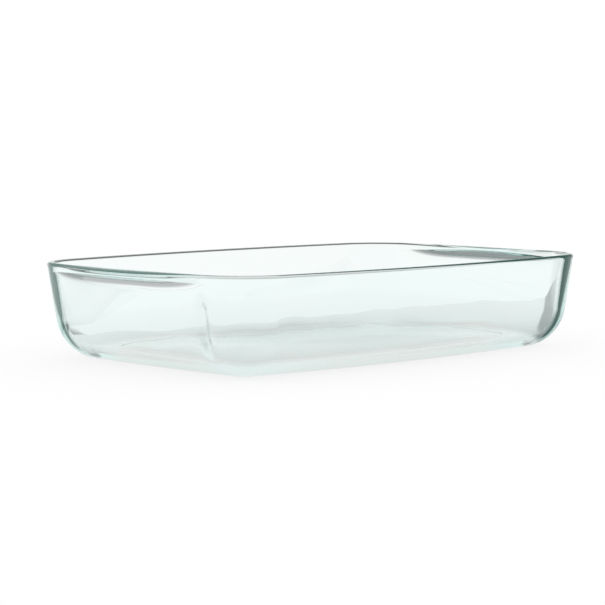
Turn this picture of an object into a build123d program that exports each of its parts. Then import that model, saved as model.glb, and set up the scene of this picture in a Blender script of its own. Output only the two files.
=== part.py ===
from build123d import *
from math import atan2, cos, degrees, hypot, radians, sin, sqrt, tan
import os

# Lasagna dish, a single pressing of clear glass, open at the top. Millimetres, +Z up.
# The origin is the middle of the underside, and +X runs along the dish to a grip.

# Overall sizes: over the grips, over the long sides, and from the base to the brim
length = 350.0
width = 236.0
height = 65.0

# Rise of each side's shallow arc, from the corners to the middle of the side
long_side_bow = 14.5
short_side_bow = 6.7

# Outside of the bowl
wall_draft = 8.67
bottom_radius = 31.4
base_corner_radius = 2.5

# Glass, at the top of the wall, in the bottom curve and in the floor
wall_thickness = 4.3
curve_thickness = 5.0
floor_thickness = 5.5

# How much further the inside of the wall slopes than its outside
inner_draft_gain = 0.85

# Grip at each short end, a ledge that swells out of the wall between the corners
grip_overhang = 8.0
grip_depth = 4.5
grip_top_share = 0.19

# Hollow under the grip, which runs down into the wall like a quarter round
cove_height = 8.3
cove_angles = (0.0, 22.5, 45.0, 67.5, 90.0)

# Round along the brim, as a share of the wall's thickness
rim_round_share = 0.46
rim_angles = (0.0, 18.0, 36.0, 54.0, 72.0, 90.0)

# Shallow hollow under the base, which leaves a band to stand on
foot_width = 9.0
foot_depth = 0.5
foot_corner_radius = 8.0

# How far a cutting solid runs past the face that it opens
cut_overrun = 5.0

# Levels
rim_round = rim_round_share * wall_thickness
rim_level = height - rim_round
ledge_level = height - grip_depth
shoulder_level = ledge_level - cove_height

# Plan of the wall below the rim's round, without the grips
half_width = width / 2
half_length = length / 2 - grip_overhang
long_arc_radius = (half_length**2 + long_side_bow**2) / (2 * long_side_bow)
short_arc_radius = (half_width**2 + short_side_bow**2) / (2 * short_side_bow)

# Slope and bottom curve of the inside
inner_draft = wall_draft + inner_draft_gain
inner_bottom_radius = bottom_radius - curve_thickness


def wall_inset(level):
    """How much narrower than at the rim the outer wall is, on each side, at a level."""
    return (rim_level - level) * tan(radians(wall_draft))


# The bottom curve and the sloping wall widen the base's corner on the way up
curve_top = bottom_radius * (1 - sin(radians(wall_draft)))
base_inset = wall_inset(curve_top) + bottom_radius * cos(radians(wall_draft))
corner_radius = base_corner_radius + base_inset


def outline(level, inset, corner, bulge=0.0):
    """A face at a level, bounded by eight tangent arcs, inset from the wall's plan.

    The two end arcs are bulged outward by the last value, and the other arcs stay as they are.
    """
    side_radius = long_arc_radius - inset
    side_centre = half_width - long_arc_radius
    plain_end_centre = half_length - short_arc_radius

    # The corner's centre lies at a known distance from the centres of both shallow arcs
    span = hypot(plain_end_centre, side_centre)
    from_end = short_arc_radius - inset - corner
    from_side = side_radius - corner
    along = (from_end**2 - from_side**2 + span**2) / (2 * span)
    across = sqrt(from_end**2 - along**2)
    corner_x = plain_end_centre - (along * plain_end_centre + across * side_centre) / span
    corner_y = (along * side_centre - across * plain_end_centre) / span

    # The end arc reaches its furthest point at the middle, and is tangent to the corner arcs
    reach = half_length - inset + bulge - corner_x
    end_radius = (reach**2 + corner_y**2 - corner**2) / (2 * (reach - corner))
    end_centre = corner_x + reach - end_radius

    end_angle = degrees(atan2(corner_y, corner_x - end_centre))
    side_angle = degrees(atan2(corner_y - side_centre, corner_x))
    corner_turn = side_angle - end_angle
    edges = []
    for side, turn in ((1, 0), (-1, 180)):
        edges += [
            CenterArc((side * end_centre, 0), end_radius, turn - end_angle, 2 * end_angle),
            CenterArc((side * corner_x, side * corner_y), corner, turn + end_angle, corner_turn),
            CenterArc((0, side * side_centre), side_radius, turn + side_angle, 2 * (90 - side_angle)),
            CenterArc((-side * corner_x, side * corner_y), corner, turn + 180 - side_angle, corner_turn),
        ]
    return Plane.XY.offset(level) * make_face(edges)


def wall_outline(level, inset, bulge=0.0):
    """An outline of the outside, whose corners all share one centre."""
    return outline(level, inset, corner_radius - inset, bulge)


def bowl(top, depth, draft, radius):
    """A solid that narrows downward from its top face, with a large round along its bottom edge."""
    solid = extrude(top, depth, dir=(0, 0, -1), taper=draft)
    return fillet(solid.faces().sort_by(Axis.Z)[0].edges(), radius)


def cove():
    """The top of the wall, which curves outward at the short ends to carry the grips."""
    sections = []
    for angle in cove_angles:
        level = ledge_level - cove_height * (1 - sin(radians(angle)))
        bulge = grip_overhang * (1 - cos(radians(angle)))
        sections.append(wall_outline(level, wall_inset(level), bulge))
    return loft(sections)


def grips():
    """The stretch with the grips' outer edges."""
    edge = wall_outline(rim_level, 0, grip_overhang)
    return extrude(edge, rim_level - ledge_level, dir=(0, 0, -1), taper=wall_draft)


def brim():
    """The rounded top, where the grips rise from their outer edges to the rim."""
    sections = []
    for angle in rim_angles:
        turned = 1 - cos(radians(angle))
        bulge = grip_overhang * (1 - (1 - grip_top_share) * turned)
        level = rim_level + rim_round * sin(radians(angle))
        sections.append(wall_outline(level, rim_round * turned, bulge))
    return loft(sections)


def outside():
    """The dish as if it were full to the brim."""
    shoulder = wall_outline(shoulder_level, wall_inset(shoulder_level))
    return bowl(shoulder, shoulder_level, wall_draft, bottom_radius) + cove() + grips() + brim()


def inside():
    """What the dish holds, run on past the brim, with corners as round as the outside's."""
    inset = wall_thickness - rim_round * tan(radians(inner_draft))
    mouth = outline(height, inset, corner_radius)
    contents = bowl(mouth, height - floor_thickness, inner_draft, inner_bottom_radius)
    return contents + extrude(mouth, cut_overrun)


def foot_hollow():
    """The shallow hollow in the underside, inside the band that the dish stands on."""
    edge = outline(foot_depth, base_inset + foot_width, foot_corner_radius)
    return extrude(edge, foot_depth + cut_overrun, dir=(0, 0, -1))


def glass_dish():
    """The whole dish, with its inner top edge rounded like its outer one."""
    dish = outside() - inside() - foot_hollow()
    mouth = dish.faces().sort_by(Axis.Z)[-1].inner_wires()[0]
    return fillet(mouth.edges(), rim_round)


os.makedirs("parts", exist_ok=True)
dish = glass_dish()
export_step(dish, "parts/glass_dish.step")
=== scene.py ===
import bpy
from math import acos, atan2, cos, exp, hypot, pi, radians, sin, sqrt, tan
from mathutils import Matrix, Vector


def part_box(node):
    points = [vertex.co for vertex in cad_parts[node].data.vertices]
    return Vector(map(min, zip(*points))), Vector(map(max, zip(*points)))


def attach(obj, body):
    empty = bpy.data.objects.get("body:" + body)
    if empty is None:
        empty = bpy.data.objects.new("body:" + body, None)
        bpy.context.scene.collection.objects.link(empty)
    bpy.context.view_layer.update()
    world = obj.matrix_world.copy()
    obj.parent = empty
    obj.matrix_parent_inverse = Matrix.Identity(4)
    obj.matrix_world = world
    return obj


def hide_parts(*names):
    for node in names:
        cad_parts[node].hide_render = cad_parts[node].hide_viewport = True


# A lasagna dish of clear pressed glass on a pale floor. Metres, +Z up, the frame's own axes.

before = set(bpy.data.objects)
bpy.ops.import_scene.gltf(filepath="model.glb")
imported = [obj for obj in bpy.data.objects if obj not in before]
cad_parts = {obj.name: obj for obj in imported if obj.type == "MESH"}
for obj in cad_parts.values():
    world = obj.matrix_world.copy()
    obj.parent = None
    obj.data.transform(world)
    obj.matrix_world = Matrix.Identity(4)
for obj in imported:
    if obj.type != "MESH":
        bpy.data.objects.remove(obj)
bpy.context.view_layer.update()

# Overall sizes, from the frame
low_corner, high_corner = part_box("glass_dish")
length = high_corner[0] - low_corner[0]
width = high_corner[1] - low_corner[1]
height = high_corner[2] - low_corner[2]

# Plan of the wall below the rim's round, without the grips
long_side_bow = 0.0145
short_side_bow = 0.0067
corner_radius = 0.0391

# Bowl, outside and inside
wall_draft = radians(8.67)
inner_draft = radians(9.52)
bottom_radius = 0.0314
wall_thickness = 0.0043
curve_thickness = 0.0050
floor_thickness = 0.0055

# Rim, and the grip that swells out of each short end under it
rim_round = 0.0020
grip_overhang = 0.0080
grip_top_share = 0.19
grip_taper = 1.35

# Hollow under the grip, and the grip's rounded lower edge and leaning side
cove_low = 0.0522
cove_radius = 0.0083
cove_least_rise = 0.0020
crease_sink = 0.0015
ledge_edge_round = 0.0010
ledge_side_gain = 1.028
ledge_side_lean = 0.0006

# Shallow hollow under the base
foot_width = 0.0090
foot_depth = 0.0005
foot_step = 0.0016
foot_corner_radius = 0.0080

# Slow waves on the inside, as height, lengths of a wave along x, y and z, and start
waves = (
    (0.00006, 0.058, 0.071, 0.070, 0.3),
    (0.00003, -0.034, 0.043, 0.060, 1.9),
    (0.00003, 0.083, -0.054, 0.048, 4.1),
)
wave_fade = 0.012
floor_wave_share = 0.3
far_wave_share = 0.25

# Flow mark, a low rib down the inside where the near end wall turns into its corner
mark_height = 0.0011
mark_width = 0.0041
mark_bottom = 0.012
mark_top = 0.056

# Points on each arc of an outline, and the point that the flow mark runs through
end_steps = 96
side_steps = 64
corner_steps = 54
mark_station = 2 * end_steps + side_steps + 2 * corner_steps

# Rings on each stretch of the glass, from the underside round to the inside
foot_step_rings = 8
foot_band_rings = 4
outer_curve_rings = 28
outer_wall_rings = 10
cove_rings = 12
ledge_edge_rings = 6
ledge_side_rings = 6
outer_rim_rings = 14
rim_top_rings = 4
inner_rim_rings = 12
inner_wall_rings = 24
inner_curve_rings = 28

# Shares of the floor's outline at which its rings lie, towards the middle
floor_shares = (0.985, 0.95, 0.9, 0.82, 0.72, 0.6, 0.46, 0.32, 0.18, 0.06)

# Sizes that follow
wall_half_length = length / 2 - grip_overhang
wall_half_width = width / 2
long_arc_radius = (wall_half_length**2 + long_side_bow**2) / (2 * long_side_bow)
short_arc_radius = (wall_half_width**2 + short_side_bow**2) / (2 * short_side_bow)
rim_level = height - rim_round
inner_bottom_radius = bottom_radius - curve_thickness
curve_top = bottom_radius * (1 - sin(wall_draft))
base_inset = (rim_level - curve_top) * tan(wall_draft) + bottom_radius * cos(wall_draft)
mouth_inset = wall_thickness - rim_round * tan(inner_draft)
inner_curve_top = floor_thickness + inner_bottom_radius * (1 - sin(inner_draft))
inner_curve_inset = (height - inner_curve_top) * tan(inner_draft)
floor_inset = mouth_inset + inner_curve_inset + inner_bottom_radius * cos(inner_draft)


def corner_centre(inset, radius):
    """Centre of a corner arc that is tangent to the shallow arcs of both sides, at an inset."""
    end_centre = wall_half_length - short_arc_radius
    side_centre = wall_half_width - long_arc_radius
    span = hypot(end_centre, side_centre)
    from_end = short_arc_radius - inset - radius
    from_side = long_arc_radius - inset - radius
    along = (from_end**2 - from_side**2 + span**2) / (2 * span)
    across = sqrt(from_end**2 - along**2)
    x = end_centre - (along * end_centre + across * side_centre) / span
    y = (along * side_centre - across * end_centre) / span
    return x, y


def overhang(x, y, radius, angle):
    """How far the grip reaches past a point of the wall's plan, square to the wall."""
    corner_x, corner_y = corner_centre(0, corner_radius)
    reach = wall_half_length + grip_overhang - corner_x
    grip_radius = (reach**2 + corner_y**2 - corner_radius**2) / (2 * (reach - corner_radius))
    grip_centre = corner_x + reach - grip_radius
    if abs(sin(angle)) * (corner_x - grip_centre) > abs(cos(angle)) * corner_y:
        return 0.0
    from_grip_centre = x - grip_centre * (1 if cos(angle) > 0 else -1)
    along = from_grip_centre * cos(angle) + y * sin(angle)
    away_squared = from_grip_centre**2 + y**2 - along**2
    plain_reach = max(sqrt(grip_radius**2 - away_squared) - along - radius, 0.0)
    return grip_overhang * (plain_reach / grip_overhang) ** grip_taper


def stations(inset, corner):
    """Points round an outline, as arc centre, radius, angle and how far the grip reaches there."""
    corner_x, corner_y = corner_centre(inset, corner)
    end_centre = wall_half_length - short_arc_radius
    side_centre = wall_half_width - long_arc_radius
    end_angle = atan2(corner_y, corner_x - end_centre)
    side_angle = atan2(corner_y - side_centre, corner_x)
    end_radius = short_arc_radius - inset
    side_radius = long_arc_radius - inset
    found = []
    for side, turn in ((1, 0), (-1, pi)):
        arcs = (
            (side * end_centre, 0, end_radius, -end_angle, end_angle, end_steps),
            (side * corner_x, side * corner_y, corner, end_angle, side_angle, corner_steps),
            (0, side * side_centre, side_radius, side_angle, pi - side_angle, side_steps),
            (-side * corner_x, side * corner_y, corner, pi - side_angle, pi - end_angle, corner_steps),
        )
        for x, y, radius, start, stop, steps in arcs:
            for i in range(steps):
                angle = turn + start + (stop - start) * i / steps
                found.append((x, y, radius, angle, overhang(x, y, radius, angle)))
    return found


outer_stations = stations(0, corner_radius)
inner_stations = stations(mouth_inset, corner_radius)
foot_stations = stations(base_inset + foot_width, foot_corner_radius)


def ring(around, inset, level, share=1.0):
    """A level ring through an outline's stations, moved inward, and drawn in towards the middle."""
    points = []
    for x, y, radius, angle, _ in around:
        reach = radius - inset
        points.append((share * (x + reach * cos(angle)), share * (y + reach * sin(angle)), level))
    return points


def limited(value):
    """A value held between 0 and 1."""
    return min(max(value, 0), 1)


def ripple(x, y, z):
    """How far the inside departs outward from its plain form, which it keeps at the brim."""
    depth = 0
    for high, along, across, up, start in waves:
        depth += high * sin(2 * pi * (x / along + y / across + z / up) + start)
    faded = limited((rim_level - z) / wave_fade)
    return depth * faded * (1 - (1 - far_wave_share) * (x / length + 1 / 2))


def mark_at(level):
    """Height of the flow mark at a level, which runs out to nothing at both ends."""
    below_top = limited((mark_top - level) / wave_fade)
    above_bottom = limited((level - mark_bottom) / wave_fade)
    return mark_height * below_top * above_bottom


def inside_ring(inset, level, tilt, share=1.0):
    """A ring on the inside, with its waves and flow mark, where the face leans back by the tilt."""
    plain = ring(inner_stations, inset, level, share)
    mark_x, mark_y, _ = plain[mark_station]
    mark = mark_at(level)
    waved = 1 - (1 - floor_wave_share) * sin(tilt) ** 2
    points = []
    for (x, y, z), (_, _, _, angle, _) in zip(plain, inner_stations):
        away = hypot(x - mark_x, y - mark_y) / mark_width
        depth = ripple(x, y, z) * waved - mark * exp(-away**2)
        outward = depth * cos(tilt)
        points.append((x + outward * cos(angle), y + outward * sin(angle), z - depth * sin(tilt)))
    return points


def grip_ring(place):
    """A ring on the outside, whose inset and level depend on how far the grip reaches there."""
    points = []
    for x, y, radius, angle, reach in outer_stations:
        inset, level = place(reach)
        points.append((x + (radius - inset) * cos(angle), y + (radius - inset) * sin(angle), level))
    return points


def steps_of(count, skip_first=True):
    """Shares from 0 to 1 in even steps."""
    return [i / count for i in range(1 if skip_first else 0, count + 1)]


def arc_angles(start, stop, count):
    """Angles in even steps, without the first."""
    return [start + (stop - start) * share for share in steps_of(count)]


def wall_inset(level):
    """How much narrower than at the rim the outer wall is, on each side, at a level."""
    return (rim_level - level) * tan(wall_draft)


def between(first, last, share):
    """A ring between two others."""
    return [tuple(a + (b - a) * share for a, b in zip(p, q)) for p, q in zip(first, last)]


def underside():
    """The hollow under the base, from its middle out, and the band that the dish stands on."""
    rings = []
    for share in reversed(floor_shares):
        rings.append(ring(foot_stations, foot_step / 2, foot_depth, share))
    for share in steps_of(foot_step_rings, skip_first=False):
        fall = (1 - cos(pi * share)) / 2
        rings.append(ring(foot_stations, foot_step * (1 / 2 - share), foot_depth * (1 - fall)))
    inner_edge = rings[-1]
    outer_edge = ring(outer_stations, base_inset, 0)
    rings += [between(inner_edge, outer_edge, share) for share in steps_of(foot_band_rings)]
    return rings


def outer_wall():
    """The bottom curve and the sloping wall, up to the grips."""
    rings = []
    for angle in arc_angles(0, pi / 2 - wall_draft, outer_curve_rings):
        inset = base_inset - bottom_radius * sin(angle)
        rings.append(ring(outer_stations, inset, bottom_radius * (1 - cos(angle))))
    for share in steps_of(outer_wall_rings):
        level = curve_top + (cove_low - curve_top) * share
        rings.append(ring(outer_stations, wall_inset(level), level))
    return rings


def cove_turn(reach):
    """How far the hollow under the grip turns outward before its edge is rounded over."""
    side_to_centre = cove_radius - reach
    return acos((side_to_centre + ledge_edge_round) / (cove_radius + ledge_edge_round))


def cove_rise(reach):
    """Height of the hollow and of the rounded edge over it."""
    return (cove_radius + ledge_edge_round) * sin(cove_turn(reach))


def cove_top(reach):
    """Level at which the grip's rounded edge meets its side, sinking a little to the corners."""
    full_rise = cove_rise(ledge_side_gain * grip_overhang)
    return cove_low + full_rise - crease_sink * (1 - reach / grip_overhang)


def cove_start(reach):
    """Level at which the wall turns outward into the hollow, higher where the grip reaches less."""
    return cove_top(reach) - max(cove_rise(ledge_side_gain * reach), cove_least_rise)


def cove():
    """The hollow under the grips, which gets smaller towards the corners, and their rounded edge."""
    rings = []
    for share in steps_of(cove_rings):
        def hollow(reach):
            turn = share * cove_turn(ledge_side_gain * reach)
            rise = max(cove_radius * sin(turn), cove_least_rise * share / 2)
            level = cove_start(reach) + rise
            return wall_inset(level) - cove_radius * (1 - cos(turn)), level
        rings.append(grip_ring(hollow))
    for share in steps_of(ledge_edge_rings):
        def edge(reach):
            side_reach = ledge_side_gain * reach
            turn = cove_turn(side_reach) * (1 - share)
            rise = cove_rise(side_reach) - ledge_edge_round * sin(turn)
            level = cove_start(reach) + max(rise, cove_least_rise * (1 + share) / 2)
            return wall_inset(level) - side_reach + ledge_edge_round * (1 - cos(turn)), level
        rings.append(grip_ring(edge))
    return rings


def side_lean(reach):
    """How far the grip's side has leaned back where it meets the rounded top."""
    return ledge_side_lean * reach / grip_overhang


def brim():
    """The grips' sides, which lean back a little, and the rounded top over to the inner wall."""
    rings = []
    for share in steps_of(ledge_side_rings):
        def side(reach):
            level = cove_top(reach) + (rim_level - cove_top(reach)) * share
            drawn_in = ((ledge_side_gain - 1) * reach + side_lean(reach)) * share**2
            return wall_inset(level) - ledge_side_gain * reach + drawn_in, level
        rings.append(grip_ring(side))
    for angle in arc_angles(0, pi / 2, outer_rim_rings):
        def top(reach):
            turned = 1 - cos(angle)
            inset = rim_round * turned - reach * (1 - (1 - grip_top_share) * turned)
            return inset + side_lean(reach) * (1 - turned), rim_level + rim_round * sin(angle)
        rings.append(grip_ring(top))
    round_inset = rim_round * tan(inner_draft) - rim_round / cos(inner_draft)
    outer_edge = rings[-1]
    inner_edge = ring(inner_stations, round_inset, height)
    rings += [between(outer_edge, inner_edge, share) for share in steps_of(rim_top_rings)]
    for angle in arc_angles(pi / 2, inner_draft, inner_rim_rings):
        inset = round_inset + rim_round * cos(angle)
        rings.append(ring(inner_stations, inset, rim_level + rim_round * sin(angle)))
    return rings


def inner_wall():
    """The inside of the bowl, down its wall and round its bottom curve to the floor."""
    rings = []
    wall_top = rim_level + rim_round * sin(inner_draft)
    for share in steps_of(inner_wall_rings):
        level = wall_top + (inner_curve_top - wall_top) * share
        rings.append(inside_ring((height - level) * tan(inner_draft), level, inner_draft))
    floor_edge = floor_inset - mouth_inset
    for angle in arc_angles(inner_draft, pi / 2, inner_curve_rings):
        level = floor_thickness + inner_bottom_radius * (1 - sin(angle))
        inset = floor_edge - inner_bottom_radius * cos(angle)
        rings.append(inside_ring(inset, level, angle))
    rings += [inside_ring(floor_edge, floor_thickness, pi / 2, share) for share in floor_shares]
    return rings


def glass_mesh():
    """One closed skin of quads through all the rings."""
    rings = underside() + outer_wall() + cove() + brim() + inner_wall()
    around = len(rings[0])
    points = [point for one in rings for point in one]
    faces = []
    for row in range(len(rings) - 1):
        low = row * around
        high = low + around
        for i in range(around):
            j = (i + 1) % around
            faces.append((low + i, low + j, high + j, high + i))
    last = (len(rings) - 1) * around
    faces.append(tuple(reversed(range(around))))
    faces.append(tuple(range(last, last + around)))
    mesh = bpy.data.meshes.new("glass_dish_body")
    mesh.from_pydata(points, [], faces)
    mesh.validate()
    mesh.shade_smooth()
    return mesh


# Sockets of a Mix node that mixes colours, which share their names with its other kinds
mix_first = 6
mix_second = 7
mix_result = 2


def node_of(tree, kind, inputs=(), **settings):
    """A node with its settings, whose inputs are set to values or linked to sockets."""
    node = tree.nodes.new(kind)
    for name, value in settings.items():
        setattr(node, name, value)
    for key, value in inputs:
        if hasattr(value, "is_output"):
            tree.links.new(value, node.inputs[key])
        else:
            node.inputs[key].default_value = value
    return node


def product(tree, first, second):
    """Two values multiplied."""
    pair = ((0, first), (1, second))
    return node_of(tree, "ShaderNodeMath", pair, operation="MULTIPLY").outputs["Value"]


def larger(tree, first, second):
    """The larger of two values."""
    pair = ((0, first), (1, second))
    return node_of(tree, "ShaderNodeMath", pair, operation="MAXIMUM").outputs["Value"]


def slope(tree, value, start, full, low, high):
    """A value mapped in a straight line between two ends, and level past them."""
    ends = (("From Min", start), ("From Max", full), ("To Min", low), ("To Max", high))
    return node_of(tree, "ShaderNodeMapRange", (("Value", value), *ends)).outputs["Result"]


def tint(tree, share, first, second):
    """A colour between two others."""
    inputs = ((0, share), (mix_first, first), (mix_second, second))
    return node_of(tree, "ShaderNodeMix", inputs, data_type="RGBA").outputs[mix_result]


def part_of(tree, place, axis):
    """A place's or direction's part along an axis."""
    return node_of(tree, "ShaderNodeSeparateXYZ", ((0, place),)).outputs[axis]


white = (1.0, 1.0, 1.0, 1.0)

# Glass: how it bends light, the colours that it lets through, and how fast it takes up the
# rest, for each metre
glass_ior = 1.5
glass_colour = (0.0, 0.86, 0.74, 1.0)
glass_density = 10.5

# Painted glow on the glass, in place of the light that a render's last bounce inside the glass cuts
# off,
#  paler at one end of the dish and darker, as painted shade, towards the other
pale_end_painted_glow = (0.100, 0.115, 0.108, 1.0)
dark_end_painted_glow = (0.008, 0.040, 0.033, 1.0)
painted_glow_ends = (-0.13, 0.10)
last_bounce = 3.5


def glass_material():
    """Clear glass with the faint green of its own thickness, and a painted glow where a render's last
    bounce inside it cuts the light off.
    """
    material = bpy.data.materials.new("clear_glass")
    material.use_nodes = True
    tree = material.node_tree
    shader = tree.nodes["Principled BSDF"]
    shader.inputs["Base Color"].default_value = white
    shader.inputs["Roughness"].default_value = 0.0
    shader.inputs["IOR"].default_value = glass_ior
    shader.inputs["Transmission Weight"].default_value = 1.0
    # Painted glow: the glass glows once a ray has passed the last bounce, darker as painted shade
    # towards one end
    bounces = tree.nodes.new("ShaderNodeLightPath").outputs["Glossy Depth"]
    pair = ((0, bounces), (1, last_bounce))
    cut_off = node_of(tree, "ShaderNodeMath", pair, operation="GREATER_THAN").outputs["Value"]
    place = tree.nodes.new("ShaderNodeTexCoord").outputs["Object"]
    painted_shade_share = slope(tree, part_of(tree, place, "X"), *painted_glow_ends, 0.0, 1.0)
    painted_glow_colour = tint(tree, painted_shade_share, pale_end_painted_glow, dark_end_painted_glow)
    tree.links.new(painted_glow_colour, shader.inputs["Emission Color"])
    tree.links.new(cut_off, shader.inputs["Emission Strength"])
    material.cycles.emission_sampling = "NONE"
    absorption = tree.nodes.new("ShaderNodeVolumeAbsorption")
    absorption.inputs["Color"].default_value = glass_colour
    absorption.inputs["Density"].default_value = glass_density
    tree.links.new(absorption.outputs["Volume"], tree.nodes["Material Output"].inputs["Volume"])
    return material


def build_dish():
    dish = bpy.data.objects.new("dish_glass", glass_mesh())
    bpy.context.scene.collection.objects.link(dish)
    dish.data.materials.append(glass_material())
    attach(dish, "root")
    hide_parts("glass_dish")


# Floor, which lies a hair above the plane of the dish's base, so that the two don't coincide
floor_half_size = 6.0
floor_lift = 0.00005

# Share of its own light that the floor gives the camera, and the glass
floor_glow = 0.85
floor_glow_in_glass = 0.95

# Studio as the glass shows it: a pale board under the dish, and past the board's far edge a
# dark ground, a white wall and a grey ceiling. Both ceiling and ground are given as rise and level.
board_level = 0.90
board_end = (0.128, 0.129)
ceiling_steps = ((0.12, 1.0), (0.24, 0.55), (0.6, 0.30))
ground_steps = ((-0.22, 1.0), (-0.30, 0.15), (-0.60, 0.15), (-0.80, 1.0))

# Grey band towards one side, on the floor and on the wall, which fades out in front. Each step
# into and out of it has its two ends, and what it multiplies the light by.
grey_side = (0.638, -0.770, 0.0)
floor_side = (((0.149, 0.153), 0.42), ((0.185, 0.24), 2.38))
floor_side_front = (-0.13, -0.09)
world_side = (((0.03, 0.22), 0.70), ((0.60, 0.90), 1.43))
world_side_front = (0.0, 0.15)

# Painted shadow on the board under the dish, which only the glass shows, the board's warm tone there,
# and the green tone of the painted shadow and of the grey band
shade_centre = (0.045, 0.030)
shade_reach = (0.112, 0.080)
shade_ends = (0.60, 1.05)
shade_level = 0.72
warm_centre = (0.0, 0.0)
warm_reach = (0.165, 0.105)
warm_ends = (0.90, 1.05)
warm_tone = (1.0, 0.930, 0.925, 1.0)
painted_shade_and_grey_tone = (0.92, 1.0, 0.985, 1.0)


def seen_in_glass(tree):
    """1 for rays that come through or off the glass, otherwise 0."""
    rays = tree.nodes.new("ShaderNodeLightPath")
    return larger(tree, rays.outputs["Is Transmission Ray"], rays.outputs["Is Glossy Ray"])


def side_light(tree, place, steps, front_ends):
    """1 in front and away from the grey side, and lower in the band towards it."""
    pair = ((0, place), (1, grey_side))
    towards = node_of(tree, "ShaderNodeVectorMath", pair, operation="DOT_PRODUCT").outputs["Value"]
    behind = slope(tree, part_of(tree, place, "Y"), *front_ends, 0.0, 1.0)
    light = tree.nodes.new("ShaderNodeValue").outputs["Value"]
    light.default_value = 1.0
    for ends, level in steps:
        share = product(tree, slope(tree, towards, *ends, 0.0, 1.0), behind)
        light = product(tree, light, slope(tree, share, 0.0, 1.0, 1.0, level))
    return light


def from_centre(tree, place, centre, reach):
    """Distance on the floor from a centre, as a share of a reach along x and along y."""
    pair = ((0, place), (1, (*centre, 0)))
    offset = node_of(tree, "ShaderNodeVectorMath", pair, operation="SUBTRACT").outputs["Vector"]
    pair = ((0, offset), (1, (*reach, 1)))
    scaled = node_of(tree, "ShaderNodeVectorMath", pair, operation="DIVIDE").outputs["Vector"]
    size = node_of(tree, "ShaderNodeVectorMath", ((0, scaled),), operation="LENGTH")
    return size.outputs["Value"]


def board_light(tree, place, in_glass):
    """The board's own light, plain white for the camera, and in the glass with a painted shadow under
    the dish, the grey band and their tones.
    """
    # Painted shadow: the board seen in the glass is darker in an oval under the dish
    from_shade = from_centre(tree, place, shade_centre, shade_reach)
    shade = slope(tree, from_shade, *shade_ends, shade_level, 1.0)
    light = product(tree, side_light(tree, place, floor_side, floor_side_front), shade)
    strength = slope(tree, in_glass, 0.0, 1.0, 1.0, product(tree, light, board_level))
    warm = slope(tree, from_centre(tree, place, warm_centre, warm_reach), *warm_ends, 1.0, 0.0)
    tone = tint(tree, light, painted_shade_and_grey_tone, tint(tree, warm, white, warm_tone))
    inputs = (("Color", tint(tree, in_glass, white, tone)), ("Strength", strength))
    return node_of(tree, "ShaderNodeEmission", inputs).outputs["Emission"]


def floor_material():
    """A plain white floor, which in the glass is the board with its painted shadow under the dish, and
    ends behind the dish.
    """
    material = bpy.data.materials.new("floor")
    material.use_nodes = True
    tree = material.node_tree
    shader = tree.nodes["Principled BSDF"]
    shader.inputs["Base Color"].default_value = white
    shader.inputs["Roughness"].default_value = 1.0
    shader.inputs["Specular IOR Level"].default_value = 0.0
    place = tree.nodes.new("ShaderNodeTexCoord").outputs["Object"]
    in_glass = seen_in_glass(tree)
    rays = tree.nodes.new("ShaderNodeLightPath")
    camera_share = product(tree, rays.outputs["Is Camera Ray"], floor_glow)
    glass_share = product(tree, in_glass, floor_glow_in_glass)
    own_light = board_light(tree, place, in_glass)
    parts = ((0, larger(tree, camera_share, glass_share)), (1, shader.outputs["BSDF"]), (2, own_light))
    board = node_of(tree, "ShaderNodeMixShader", parts).outputs["Shader"]
    beyond = product(tree, in_glass, slope(tree, part_of(tree, place, "Y"), *board_end, 0.0, 1.0))
    clear = tree.nodes.new("ShaderNodeBsdfTransparent").outputs["BSDF"]
    ended = node_of(tree, "ShaderNodeMixShader", ((0, beyond), (1, board), (2, clear)))
    tree.links.new(ended.outputs["Shader"], tree.nodes["Material Output"].inputs["Surface"])
    return material


def build_floor():
    size = floor_half_size
    corners = [(-size, -size, 0), (size, -size, 0), (size, size, 0), (-size, size, 0)]
    mesh = bpy.data.meshes.new("floor")
    mesh.from_pydata(corners, [], [(0, 1, 2, 3)])
    floor = bpy.data.objects.new("floor", mesh)
    bpy.context.scene.collection.objects.link(floor)
    floor.data.materials.append(floor_material())
    floor.location.z = floor_lift


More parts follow.
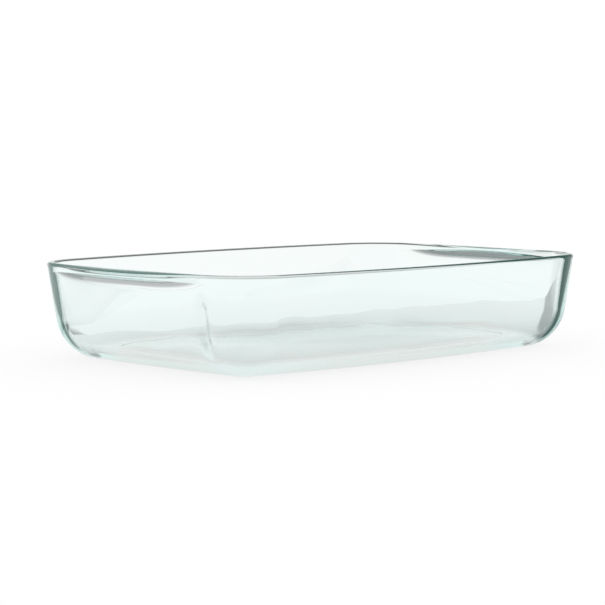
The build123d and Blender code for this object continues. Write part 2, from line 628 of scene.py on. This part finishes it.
def build_world():
    """A white world, which lights the dish evenly, and in the glass has the studio's levels."""
    world = bpy.data.worlds.new("studio")
    bpy.context.scene.world = world
    world.use_nodes = True
    tree = world.node_tree
    plain = tree.nodes["Background"]
    plain.inputs["Color"].default_value = white
    plain.inputs["Strength"].default_value = 1.0
    direction = tree.nodes.new("ShaderNodeTexCoord").outputs["Generated"]
    rise = part_of(tree, direction, "Z")
    light = side_light(tree, direction, world_side, world_side_front)
    for steps in (ceiling_steps, ground_steps):
        for (near_rise, near_level), (far_rise, far_level) in zip(steps, steps[1:]):
            change = slope(tree, rise, near_rise, far_rise, 1.0, far_level / near_level)
            light = product(tree, light, change)
    studio = node_of(tree, "ShaderNodeBackground", (("Color", white), ("Strength", light)))
    worlds = ((1, plain.outputs["Background"]), (2, studio.outputs["Background"]))
    mix = node_of(tree, "ShaderNodeMixShader", ((0, seen_in_glass(tree)), *worlds))
    tree.links.new(mix.outputs["Shader"], tree.nodes["World Output"].inputs["Surface"])


# Camera, as found from the dish's outline in the photograph. The sensor is in millimetres.
photo_width = 605
sensor_width = 36.0
azimuth = radians(-42.64)
elevation = radians(4.92)
roll = radians(-0.23)
distance = 1.42501
focal_pixels = 2088.26
aim_right = -0.00941
aim_up = 0.03399


def build_camera():
    """A camera that looks at its aim from a distance, turned a little about its own axis."""
    back = Vector((sin(azimuth) * cos(elevation), -cos(azimuth) * cos(elevation), sin(elevation)))
    right = Vector((cos(azimuth), sin(azimuth), 0))
    up = back.cross(right)
    aim = aim_right * right + Vector((0, 0, aim_up))
    rolled_right = cos(roll) * right + sin(roll) * up
    rolled_up = -sin(roll) * right + cos(roll) * up
    data = bpy.data.cameras.new("camera")
    data.sensor_width = sensor_width
    data.lens = sensor_width * focal_pixels / photo_width
    camera = bpy.data.objects.new("camera", data)
    bpy.context.scene.collection.objects.link(camera)
    turn = Matrix((rolled_right, rolled_up, back)).transposed()
    camera.matrix_world = Matrix.Translation(aim + back * distance) @ turn.to_4x4()
    bpy.context.scene.camera = camera


build_dish()
build_floor()
build_world()
build_camera()
bpy.context.scene.view_settings.view_transform = "Standard"
